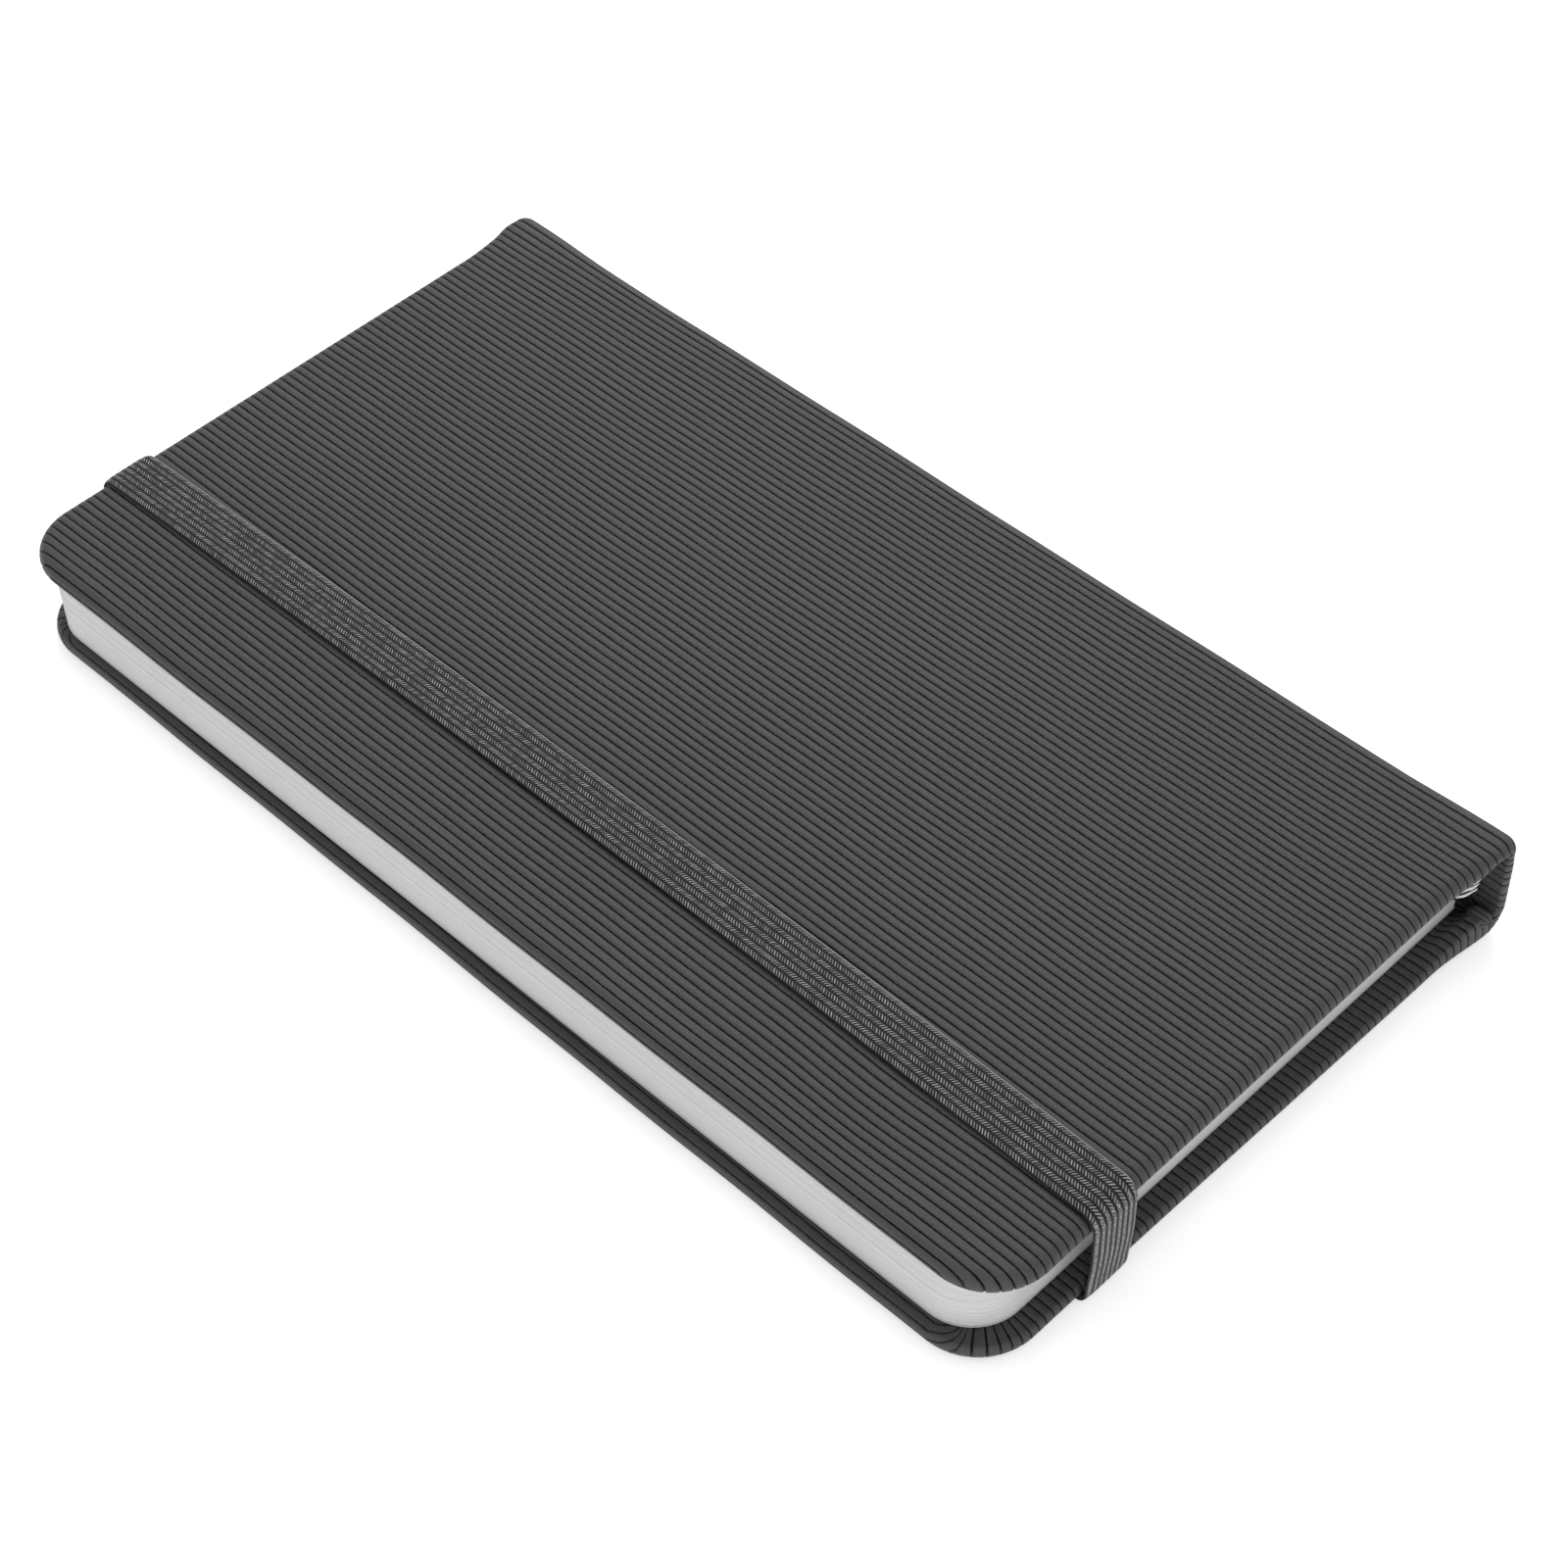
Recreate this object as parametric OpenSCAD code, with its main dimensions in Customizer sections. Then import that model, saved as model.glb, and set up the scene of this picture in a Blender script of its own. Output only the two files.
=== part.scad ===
// Case-bound pocket notebook with a ribbed cloth cover and an elastic closure.
// It lies on its back cover. The origin is at the middle of its underside, X runs from
// the spine to the fore-edge, Y from the tail to the head, and Z up through the leaves.

/* [Cover] */
// Width from the spine to the fore-edge
cover_w = 75; // [65:1:100]
// Height from tail to head
cover_h = 140; // [120:1:180]
// Thickness of the closed book, without the elastic
thickness = 13; // [11:0.5:18]
// Radius of the two fore-edge corners
corner_r = 7; // [4:0.5:12]
// Radius of the cloth where it turns over the spine
spine_r = 1.2; // [1:0.1:1.5]
// Thickness of the boards
board_t = 1.3; // [1:0.1:1.5]
// Thickness of the covering cloth
cloth_t = 0.4; // [0.3:0.05:0.5]
// How far the cloth is turned in over the boards
turn_in = 14; // [12:0.5:16]
// Distance from the back of the spine to the edge of a cover board
joint_w = 4.3; // [4:0.1:6]

/* [Book block] */
// How far the cover stands out past the leaves at the head
square_head = 3.1; // [2:0.1:4]
// How far the cover stands out past the leaves at the tail
square_tail = 1.2; // [1.2:0.1:4]
// How far the cover stands out past the leaves at the fore-edge
square_fore = 1.2; // [1:0.1:3]
// Number of sewn sections
sections = 6; // [6:2:6]
// Thickness of the endpapers
paper_t = 0.15; // [0.1:0.05:0.2]
// Diameter of the sewing thread
thread_d = 0.3; // [0.2:0.05:0.3]
// Distance between two sewing holes
stitch_pitch = 20; // [16:1:22]

/* [Spine lining] */
// Thickness of the paper lining and of the mull on it
lining_t = 0.2; // [0.1:0.05:0.2]
// Width of the head and tail bands across the leaves
band_w = 2.6; // [2:0.1:3]
// Thickness of the bead of the head and tail bands
bead_t = 1.1; // [1:0.05:1.1]
// Length of the tape that holds each band
band_tape = 9; // [6:1:10]

/* [Elastic closure] */
// Width of the elastic
elastic_w = 6; // [4:0.5:8]
// Thickness of the elastic
elastic_t = 0.8; // [0.6:0.1:1]
// Distance from the fore-edge to the middle of the elastic
elastic_inset = 15.5; // [14:0.5:24]
// Thickness of the elastic where it is pressed flat into the back cover
pressed_t = 0.3; // [0.2:0.05:0.3]
// Distance from the head or tail edge to the slot that the elastic goes through
slot_inset = 7.5; // [6:0.5:8]

/* [Hidden] */
$fn = 48;
eps = 0.01;
gap = 0.05;

half_w = cover_w / 2;
half_h = cover_h / 2;
cover_t = board_t + 2 * cloth_t;
board_x = -half_w + joint_w;
flap_x = -half_w + spine_r + gap;
fold_x = -half_w + 3.2;
leaf_x = half_w - square_fore;
leaf_y = half_h - (square_head + square_tail) / 2;
leaf_shift = (square_tail - square_head) / 2;
leaf_r = corner_r - square_fore;
flyleaf_z = cover_t + paper_t + 0.1;
block_z = flyleaf_z + paper_t;
section_t = (thickness - 2 * block_z) / sections;
spine_board_z = 1.3;
spine_in_x = -half_w + cloth_t + board_t;
window_x = half_w - turn_in;
window_y = half_h - turn_in;
elastic_x = half_w - elastic_inset;
slot_y = half_h - slot_inset;
slot_l = 0.6;
riser_t = 0.4;
thread_r = thread_d / 2;
thread_x = fold_x + 0.65;
link_x = fold_x - 0.2;
stations = [for (i = [0:5]) (i - 2.5) * stitch_pitch];

cloth_colour = "#5c5c5d";
board_colour = "#8d8577";
paper_colour = "#dcdad5";
elastic_colour = "#3a3a3b";

// A flat plate from x0 to x1, square at the spine and rounded at the fore-edge.
module plate(x0, x1, y, r, z0, z1) {
    translate([0, 0, z0])
        linear_extrude(z1 - z0) {
            translate([x0, -y]) square([x1 - r - x0, 2 * y]);
            translate([x0, -(y - r)]) square([x1 - x0, 2 * (y - r)]);
            for (s = [-1, 1])
                translate([x1 - r, s * (y - r)]) circle(r);
        }
}

// A box given by its two corners.
module block(low, high) {
    translate(low) cube(high - low);
}

// Turns a piece of the back cover into its twin on the front cover.
module on_front() {
    translate([0, 0, thickness]) mirror([0, 0, 1]) children();
}

// Moves a piece made around the middle of the leaves to their place in the case.
module on_leaves() {
    translate([0, leaf_shift, 0]) children();
}

// Draws a profile of Y and Z with the given width along X, around the elastic's middle.
module along_x(width) {
    translate([elastic_x - width / 2, 0, 0])
        rotate([90, 0, 90])
            linear_extrude(width) children();
}

// Draws a profile of X and Z with the given length along Y, around the middle.
module along_y(length) {
    translate([0, length / 2, 0])
        rotate([90, 0, 0])
            linear_extrude(length) children();
}

module rounded_rect(x0, z0, x1, z1, r) {
    translate([x0 + r, z0]) square([x1 - x0 - 2 * r, z1 - z0]);
    translate([x0, z0 + r]) square([x1 - x0, z1 - z0 - 2 * r]);
    for (x = [x0 + r, x1 - r], z = [z0 + r, z1 - r])
        translate([x, z]) circle(r);
}

module cover_board() {
    plate(board_x, half_w - cloth_t, half_h - cloth_t, corner_r - cloth_t,
          cloth_t, cloth_t + board_t);
}

// Cloth glued under a board, wrapped over three edges and turned in. On the fourth side
// it runs on as a flap over the joint, up to the spine.
module cover_cloth() {
    difference() {
        plate(board_x, half_w, half_h, corner_r, 0, cover_t);
        plate(board_x - eps, half_w - cloth_t, half_h - cloth_t, corner_r - cloth_t,
              cloth_t, cloth_t + board_t);
        block([board_x - eps, -window_y, cloth_t], [window_x, window_y, cover_t + eps]);
    }
    block([flap_x, -half_h, 0], [board_x, half_h, cloth_t]);
    for (s = [0, 1])
        mirror([0, s, 0]) {
            block([flap_x, window_y, 0], [board_x, half_h, 2 * cloth_t]);
            block([board_x - cloth_t, window_y, 0], [board_x, half_h, cover_t]);
        }
}

// Endpaper: one folded sheet. Its outer half is pasted to the board and the turned-in
// cloth, and its inner half is the free flyleaf.
module endpaper() {
    step_x = board_x + 0.2;
    difference() {
        on_leaves()
            plate(fold_x, leaf_x, leaf_y, leaf_r, cover_t - cloth_t, cover_t + paper_t);
        difference() {
            plate(fold_x - eps, half_w, half_h, corner_r, cover_t - 1, cover_t);
            block([step_x, -window_y + gap, cover_t - 1],
                  [window_x - gap, window_y - gap, cover_t + eps]);
        }
        block([step_x + paper_t, -window_y + gap + paper_t, cover_t - cloth_t + paper_t],
              [window_x - gap - paper_t, window_y - gap - paper_t, cover_t + 1]);
    }
    on_leaves() {
        block([fold_x, -leaf_y, cover_t], [fold_x + paper_t, leaf_y, block_z]);
        plate(fold_x, leaf_x, leaf_y, leaf_r, flyleaf_z, block_z);
    }
}

// Space for the elastic in the back cover: a shallow channel from the edge to a slot.
module elastic_channel() {
    for (s = [0, 1])
        mirror([0, s, 0])
            translate([elastic_x - elastic_w / 2 - gap, 0, 0]) {
                block([0, slot_y, -eps], [elastic_w + 2 * gap, half_h + eps, pressed_t]);
                block([0, slot_y, -eps], [elastic_w + 2 * gap, slot_y + slot_l, cover_t + eps]);
                block([0, window_y, cover_t - pressed_t],
                      [elastic_w + 2 * gap, slot_y + slot_l, cover_t + eps]);
            }
}

module back_board() {
    color(board_colour)
        difference() {
            cover_board();
            elastic_channel();
        }
}

module front_board() {
    color(board_colour) on_front() cover_board();
}

module back_cover_cloth() {
    color(cloth_colour)
        difference() {
            cover_cloth();
            elastic_channel();
        }
}

module front_cover_cloth() {
    color(cloth_colour) on_front() cover_cloth();
}

module back_endpaper() {
    color(paper_colour) endpaper();
}

module front_endpaper() {
    color(paper_colour) on_front() endpaper();
}

module spine_board() {
    color(board_colour)
        block([-half_w + cloth_t, -half_h + cloth_t, spine_board_z],
              [spine_in_x, half_h - cloth_t, thickness - spine_board_z]);
}

// Cloth over the spine: a rounded C in section, turned in at the head and the tail.
module spine_cloth() {
    lip_x = -half_w + spine_r;
    color(cloth_colour) {
        along_y(cover_h)
            intersection() {
                difference() {
                    rounded_rect(-half_w, 0, half_w, thickness, spine_r);
                    rounded_rect(-half_w + cloth_t, cloth_t, half_w, thickness - cloth_t,
                                 spine_r - cloth_t);
                }
                translate([-half_w, 0]) square([lip_x + half_w, thickness]);
            }
        for (s = [0, 1])
            mirror([0, s, 0]) {
                block([-half_w + cloth_t / 2, half_h - cloth_t, spine_board_z],
                      [spine_in_x + cloth_t, half_h, thickness - spine_board_z]);
                block([spine_in_x, window_y, spine_board_z],
                      [spine_in_x + cloth_t, half_h, thickness - spine_board_z]);
            }
    }
}

// Paper strip glued inside the spine board, between the turned-in ends of the cloth.
module spine_lining() {
    color(paper_colour)
        block([spine_in_x, -window_y + gap, block_z],
              [spine_in_x + lining_t, window_y - gap, thickness - block_z]);
}

// Open-weave cloth that ties the sewn sections to the case.
module mull() {
    color("#e9e6dc")
        block([spine_in_x + lining_t, -window_y + 5, block_z + 0.3],
              [spine_in_x + 2 * lining_t, window_y - 5, thickness - block_z - 0.3]);
}

// Woven band: a bead over the spine end of the leaves, on a tape glued inside the spine.
module end_band() {
    tape_x = spine_in_x + cloth_t;
    bead_r = bead_t / 2;
    z0 = block_z + 0.1;
    color("#4a4a4a") {
        translate([0, 0, z0])
            linear_extrude(thickness - 2 * z0) {
                translate([tape_x + bead_r, leaf_y + gap])
                    square([band_w - bead_t, bead_t]);
                for (x = [tape_x + bead_r, tape_x + band_w - bead_r])
                    translate([x, leaf_y + gap + bead_r]) circle(bead_r);
            }
        block([tape_x, leaf_y - band_tape, z0],
              [tape_x + lining_t, leaf_y + gap + bead_r, thickness - z0]);
    }
}

module headband() {
    on_leaves() end_band();
}

module tailband() {
    on_leaves() mirror([0, 1, 0]) end_band();
}

// One folded section of leaves, number 1 under the front cover. Its fold is rounded, and
// it has a channel along the fold and holes through it for the thread.
module section(number) {
    z0 = thickness - block_z - number * section_t;
    mid = z0 + section_t / 2;
    color(paper_colour)
        on_leaves() difference() {
            intersection() {
                plate(fold_x - eps, leaf_x, leaf_y, leaf_r, z0, z0 + section_t);
                along_y(2 * leaf_y)
                    union() {
                        translate([fold_x + section_t / 2, mid]) circle(section_t / 2);
                        translate([fold_x + section_t / 2, z0])
                            square([cover_w, section_t]);
                    }
            }
            block([thread_x - 0.2, stations[0] - 0.2, mid - 0.2],
                  [thread_x + 0.2, stations[5] + 0.2, mid + 0.2]);
            for (y = stations)
                translate([fold_x - 1, y, mid])
                    rotate([0, 90, 0]) cylinder(r = 0.2, h = thread_x - fold_x + 1);
        }
}

// Sewing thread of one section: long stitches inside the fold, and links outside it.
module thread(number) {
    mid = thickness - block_z - (number - 0.5) * section_t;
    color("#f2f0ea")
        on_leaves() for (i = [0:5]) {
            translate([link_x, stations[i], mid]) {
                rotate([0, 90, 0]) cylinder(r = thread_r, h = thread_x - link_x);
                sphere(thread_r);
            }
            translate([thread_x, stations[i], mid]) sphere(thread_r);
            if (i < 5)
                translate([i % 2 == 0 ? thread_x : link_x, stations[i], mid])
                    rotate([-90, 0, 0]) cylinder(r = thread_r, h = stitch_pitch);
        }
}

// Elastic: a loop over the front cover and down past the head and the tail. Each end is
// pressed flat along the channel, goes up through the slot, and ends in a glued tab.
module elastic_band() {
    out_y = half_h + gap + elastic_t;
    top_z = thickness + elastic_t;
    tab_y = window_y + 0.5;
    color(elastic_colour)
        along_x(elastic_w) {
            difference() {
                rounded_rect(-out_y, 0, out_y, top_z, elastic_t);
                translate([-half_h - gap, pressed_t])
                    square([2 * (half_h + gap), thickness - pressed_t]);
                translate([-slot_y - gap, -eps])
                    square([2 * (slot_y + gap), pressed_t + 2 * eps]);
            }
            for (s = [0, 1])
                mirror([s, 0]) {
                    translate([slot_y + gap, 0]) square([riser_t, cover_t]);
                    translate([tab_y, cover_t - pressed_t])
                        square([slot_y + gap + riser_t - tab_y, pressed_t]);
                }
        }
}

back_board();
back_cover_cloth();
back_endpaper();
spine_board();
spine_cloth();
spine_lining();
mull();
headband();
tailband();
front_board();
front_cover_cloth();
front_endpaper();
for (i = [1:sections]) {
    section(i);
    thread(i);
}
elastic_band();
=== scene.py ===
import math
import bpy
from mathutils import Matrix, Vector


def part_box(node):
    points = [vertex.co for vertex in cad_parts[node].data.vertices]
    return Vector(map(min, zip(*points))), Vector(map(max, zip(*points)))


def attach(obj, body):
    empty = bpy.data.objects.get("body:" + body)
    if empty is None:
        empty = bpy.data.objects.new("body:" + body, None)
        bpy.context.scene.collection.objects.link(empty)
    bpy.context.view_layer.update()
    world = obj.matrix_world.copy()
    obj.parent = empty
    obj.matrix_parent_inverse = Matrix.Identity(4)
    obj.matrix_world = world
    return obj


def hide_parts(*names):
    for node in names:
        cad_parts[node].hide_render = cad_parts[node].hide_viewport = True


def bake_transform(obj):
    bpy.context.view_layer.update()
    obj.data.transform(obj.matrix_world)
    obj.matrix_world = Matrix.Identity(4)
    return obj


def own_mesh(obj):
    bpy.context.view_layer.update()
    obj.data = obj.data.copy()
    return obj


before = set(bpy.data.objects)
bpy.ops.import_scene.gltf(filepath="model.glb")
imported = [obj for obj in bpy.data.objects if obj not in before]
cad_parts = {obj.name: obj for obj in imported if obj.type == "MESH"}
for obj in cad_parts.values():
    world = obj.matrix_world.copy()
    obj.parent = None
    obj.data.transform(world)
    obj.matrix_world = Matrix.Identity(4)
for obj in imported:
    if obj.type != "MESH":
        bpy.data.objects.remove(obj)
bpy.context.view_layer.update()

from types import SimpleNamespace

import bpy
import numpy as np
from mathutils import Matrix, Vector

# A closed pocket notebook. Lengths in this file are millimetres unless a name
# says otherwise; MM turns them into Blender's metres. X runs across the
# covers from the spine (-X) to the fore-edge (+X), Y runs along the spine to
# the head (+Y), and the book lies on its back cover at Z = 0.
MM = 0.001

# Case: the two covers and the spine
CORNER_R = 7.0              # rounded fore-edge corners of the covers
SPINE_R = 1.2               # rounding between the spine and the upper cover
SPINE_LOWER_R = 2.6         # softer rounding above the lower cover
COVER_T = 2.1               # one cover's thickness: board with cloth on both sides
JOINT_T = 1.1               # doubled cloth beside the spine, where the upper cover has no board
SPINE_T = 1.55              # the spine's ends: pared board with cloth on both sides
JOINT_FILL = 1.5            # height of the turned-in material bunched in the lower joint's head
CLOTH_T = 0.38              # cover material
TURN_IN = 5.5               # how far it is turned in over the inner side
OUTER_EDGE = (1.5, 1.25)    # soft rounding of a cover's outer side: inwards, down
INNER_EDGE = (0.55, 0.8)    # tighter rounding of its inner side
BOARD_EDGE = (1.3, 0.9)     # sanded outer edge of a cover's board: inwards, down
SPINE_WAIST = 0.20          # the spine is drawn in this far between head and tail
SPINE_FLARE = 0.25          # and stands out this far at its ends
SPINE_CAP = 0.90            # the turned-in spine ends stand this proud of the covers
TIP_ROUND = (0.45, 0.35)    # rounding of their outermost tips: inwards, down
BOARD_START = (-34.8, -32.0)    # X over which a cover passes from joint to board
LOWER_SKEW = 0.6            # how far the lower cover's head fore-edge corner is out of square
CHANNEL_DEPTH = 0.32        # channel for the elastic under the lower cover
PLEAT_DEPTH = 0.20          # pleats of the turned-in material at the corners
PLEATS = 17                 # to a full turn, so about four in a corner

# Ribbed embossing of the cover material
RIB_PITCH = 1.0
GROOVE_DEPTH = 0.14
GROOVE_HALF = 0.12
RIB_SAMPLES = (0.0, 0.12, 0.5, 0.88)    # columns of the mesh within one rib
COLUMN_GAP = 0.03           # the least distance between two columns

# Page block
SECTIONS = 6
LEAVES = 16                 # leaves in a section: 8 folded sheets
LEAF_CORNER_R = 5.8
LEAF_FULLNESS = 0.92        # a leaf's thickness as a share of its room
LEAF_TRIM = 0.035           # unevenness of the cut edges
CORNER_POINTS = 13          # points round a leaf's corner
FOLD_POINTS = 9             # points round its fold

# End bands
SILK_R = 0.165              # the silk thread's radius
SILK_PITCH = 0.34           # from one turn to the next
SILK_START = 1.9            # the winding starts this far above the band's lower end
SILK_HALF = (0.85, 0.45)    # half width and half depth of a turn
SILK_LEAN = 0.8             # a turn slants this far across its width

# Closure band
BAND_WIDTH = 6.0            # as wide as in CAD; the lanes of stitches follow it
BAND_LANES = 8              # lengthwise lanes of stitches
STITCH_PITCH = 0.34
BAND_PULLED = 0.8           # its thickness as a share of the CAD band's: it is pulled flat
TUCKED_HALF_T = 0.14        # half its thickness where it is tucked under the lower cover

# Tones, as the share of light reflected
LEATHER_TONE = 0.049
PAGE_TONE = 0.57
ENDPAPER_TONE = 0.52
THREAD_TONE = 0.6

FAR = 99.0                  # farther than anything on the book


def smoothstep(value, low, high):
    """0 below low, 1 above high, and a smooth rise between them."""
    t = np.clip((np.asarray(value, float) - low) / (high - low), 0, 1)
    return t * t * (3 - 2 * t)


def box_mm(node):
    """Lowest and highest corner of a CAD node, in millimetres."""
    low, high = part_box(node)
    return np.array(low) / MM, np.array(high) / MM


# ---------------------------------------------------------------- meshes

def new_piece(name, points, faces, material, sharp=math.radians(70)):
    """A smooth-shaded mesh object from points in millimetres."""
    mesh = bpy.data.meshes.new(name)
    mesh.from_pydata((np.asarray(points) * MM).tolist(), [], faces)
    mesh.shade_smooth()
    mesh.set_sharp_from_angle(angle=sharp)
    mesh.materials.append(material)
    piece = bpy.data.objects.new(name, mesh)
    bpy.context.scene.collection.objects.link(piece)
    return piece


def add_attribute(piece, name, vectors):
    """Stores one vector per vertex for the material to read."""
    attribute = piece.data.attributes.new(name, "FLOAT_VECTOR", "POINT")
    attribute.data.foreach_set("vector", np.asarray(vectors, np.float32).ravel())


def grid_faces(index):
    """Quads over a 2-D array of vertex indices."""
    a, b = index[:-1, :-1], index[:-1, 1:]
    c, d = index[1:, 1:], index[1:, :-1]
    return np.stack([a, b, c, d], axis=-1).reshape(-1, 4).tolist()


def surface_normals(points, faces):
    """Area-weighted vertex normals of a mesh."""
    mesh = bpy.data.meshes.new("scratch")
    mesh.from_pydata(points.tolist(), [], faces)
    normals = np.zeros(len(points) * 3, np.float32)
    mesh.vertices.foreach_get("normal", normals)
    bpy.data.meshes.remove(mesh)
    return normals.reshape(-1, 3).astype(float)


# ---------------------------------------------------------------- node graphs

def add_node(tree, kind, inputs=None, **settings):
    """A shader node; inputs maps a socket's name or number to a value or a socket."""
    node = tree.nodes.new(kind)
    for key, value in settings.items():
        setattr(node, key, value)
    for key, value in (inputs or {}).items():
        if isinstance(value, bpy.types.NodeSocket):
            tree.links.new(value, node.inputs[key])
        else:
            node.inputs[key].default_value = value
    return node


def calc(tree, operation, a, b=0.0, c=0.0):
    """One Math node's output."""
    node = add_node(tree, "ShaderNodeMath", {0: a, 1: b, 2: c}, operation=operation)
    return node.outputs[0]


def remap(tree, value, low, high, out_low=0.0, out_high=1.0):
    """value from low..high to out_low..out_high, smoothly."""
    inputs = {"Value": value, "From Min": low, "From Max": high,
              "To Min": out_low, "To Max": out_high}
    node = add_node(tree, "ShaderNodeMapRange", inputs, interpolation_type="SMOOTHSTEP")
    return node.outputs["Result"]


def noise(tree, vector, scale, detail=2.0, roughness=0.5):
    """Noise of 0..1 at that many cells per unit of vector."""
    inputs = {"Vector": vector, "Scale": scale, "Detail": detail, "Roughness": roughness}
    return add_node(tree, "ShaderNodeTexNoise", inputs).outputs["Fac"]


def combine(tree, x=0.0, y=0.0, z=0.0):
    """A vector from three numbers or sockets."""
    return add_node(tree, "ShaderNodeCombineXYZ", {0: x, 1: y, 2: z}).outputs[0]


def mix_colour(tree, factor, dark, light):
    """dark at 0 and light at 1; greys may be given as one number."""
    def colour(value):
        if isinstance(value, (int, float)):
            return (value, value, value, 1)
        return value
    inputs = {0: factor, 6: colour(dark), 7: colour(light)}
    node = add_node(tree, "ShaderNodeMix", inputs, data_type="RGBA")
    return node.outputs[2]


def new_material(name, roughness, **shader):
    """A material, its node tree and its Principled shader."""
    material = bpy.data.materials.new(name)
    material.use_nodes = True
    tree = material.node_tree
    principled = tree.nodes["Principled BSDF"]
    principled.inputs["Roughness"].default_value = roughness
    for key, value in shader.items():
        principled.inputs[key.replace("_", " ")].default_value = value
    return material, tree, principled


def set_surface(tree, principled, colour, height):
    """Gives the shader its colour, and a bump from a height in millimetres."""
    tree.links.new(colour, principled.inputs["Base Color"])
    inputs = {"Strength": 1.0, "Distance": MM, "Height": height}
    bump = add_node(tree, "ShaderNodeBump", inputs)
    tree.links.new(bump.outputs["Normal"], principled.inputs["Normal"])


def read_attribute(tree, name):
    """The three parts of a stored vector, and the vector itself."""
    vector = add_node(tree, "ShaderNodeAttribute", attribute_name=name).outputs["Vector"]
    parts = add_node(tree, "ShaderNodeSeparateXYZ", {0: vector}).outputs
    return parts[0], parts[1], parts[2], vector


def object_mm(tree):
    """Object coordinates in millimetres."""
    coordinates = add_node(tree, "ShaderNodeTexCoord").outputs["Object"]
    inputs = {0: coordinates, "Scale": 1 / MM}
    return add_node(tree, "ShaderNodeVectorMath", inputs, operation="SCALE").outputs[0]


# ---------------------------------------------------------------- materials

def cover_material():
    """Matt grey imitation leather, embossed with fine parallel ribs."""
    material, tree, principled = new_material("ribbed_leather", 0.55, Specular_IOR_Level=0.32)
    across, along, edge, vector = read_attribute(tree, "rib")

    # The grooves wander a little and are made of short pressed marks; a painted highlight runs
    # along their rim.
    wander_at = combine(tree, calc(tree, "MULTIPLY", across, 0.35), along)
    wander = calc(tree, "SUBTRACT", noise(tree, wander_at, 0.55, 3.0), 0.5)
    wavy = calc(tree, "MULTIPLY_ADD", wander, 0.10, across)
    distance = calc(tree, "PINGPONG", wavy, 0.5 * RIB_PITCH)
    marks = noise(tree, vector, 2.6, 3.0, 0.65)
    width = remap(tree, marks, 0.35, 0.65, 0.06, 0.13)
    groove = remap(tree, calc(tree, "DIVIDE", distance, width), 0.45, 1.3, 1.0, 0.0)
    # Painted highlight along each groove's rim.
    rim = calc(tree, "MULTIPLY",
               remap(tree, distance, 0.07, 0.12),
               remap(tree, distance, 0.12, 0.19, 1.0, 0.0))

    grain = noise(tree, vector, 4.5, 3.0, 0.65)
    specks = remap(tree, noise(tree, vector, 5.0, 1.0), 0.62, 0.72)
    pores = add_node(tree, "ShaderNodeTexVoronoi", {"Vector": vector, "Scale": 3.4})
    patches = noise(tree, vector, 0.035, 2.0)

    # The tone varies with the grain; specks are paler; worn edges are paler, with a painted
    # highlight on the rounding by the spine; a painted highlight runs along the groove rims; the
    # grooves are darkened with painted shade.
    shade = calc(tree, "MULTIPLY_ADD", calc(tree, "SUBTRACT", grain, 0.5), 1.15, 1.0)
    shade = calc(tree, "MULTIPLY", shade, remap(tree, patches, 0.3, 0.7, 0.94, 1.06))
    shade = calc(tree, "MULTIPLY_ADD", calc(tree, "MULTIPLY", rim, marks), 0.30, shade)
    # edge carries the worn edges and, near the spine, a painted highlight; both are paler.
    shade = calc(tree, "MULTIPLY_ADD", calc(tree, "MULTIPLY", edge, grain), 0.70, shade)
    shade = calc(tree, "MULTIPLY_ADD", specks, 1.9, shade)
    # Painted shade: the grooves are darkened towards black.
    shade = calc(tree, "MULTIPLY", shade, calc(tree, "MULTIPLY_ADD", groove, -1.0, 1.0))
    colour = mix_colour(tree, shade, 0.0, LEATHER_TONE)

    height = calc(tree, "MULTIPLY", groove, -0.07)
    height = calc(tree, "MULTIPLY_ADD", grain, 0.055, height)
    height = calc(tree, "MULTIPLY_ADD", pores.outputs["Distance"], 0.03, height)
    set_surface(tree, principled, colour, height)
    rough = remap(tree, grain, 0.3, 0.7, 0.48, 0.62)
    tree.links.new(rough, principled.inputs["Roughness"])
    return material


def paper_material(name, tone, edge_lines=0.0):
    """Uncoated paper: faint fibres, and level lines where the leaves' edges show."""
    material, tree, principled = new_material(name, 0.85, Specular_IOR_Level=0.2)
    place = object_mm(tree)
    fibres = noise(tree, place, 2.5, 4.0, 0.6)
    clouds = noise(tree, place, 0.08, 2.0)
    flattened = add_node(tree, "ShaderNodeVectorMath", {0: place, 1: (0.05, 0.05, 11.0)},
                         operation="MULTIPLY").outputs[0]
    layers = noise(tree, flattened, 1.0, 2.0, 0.7)
    shade = calc(tree, "MULTIPLY_ADD", calc(tree, "SUBTRACT", fibres, 0.5), 0.05, tone)
    shade = calc(tree, "MULTIPLY_ADD", calc(tree, "SUBTRACT", clouds, 0.5), 0.04, shade)
    shade = calc(tree, "MULTIPLY_ADD", calc(tree, "SUBTRACT", layers, 0.5), edge_lines, shade)
    colour = mix_colour(tree, shade, 0.0, 1.0)
    height = calc(tree, "MULTIPLY", fibres, 0.012)
    height = calc(tree, "MULTIPLY_ADD", layers, 0.03 if edge_lines else 0.0, height)
    set_surface(tree, principled, colour, height)
    return material


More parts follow.
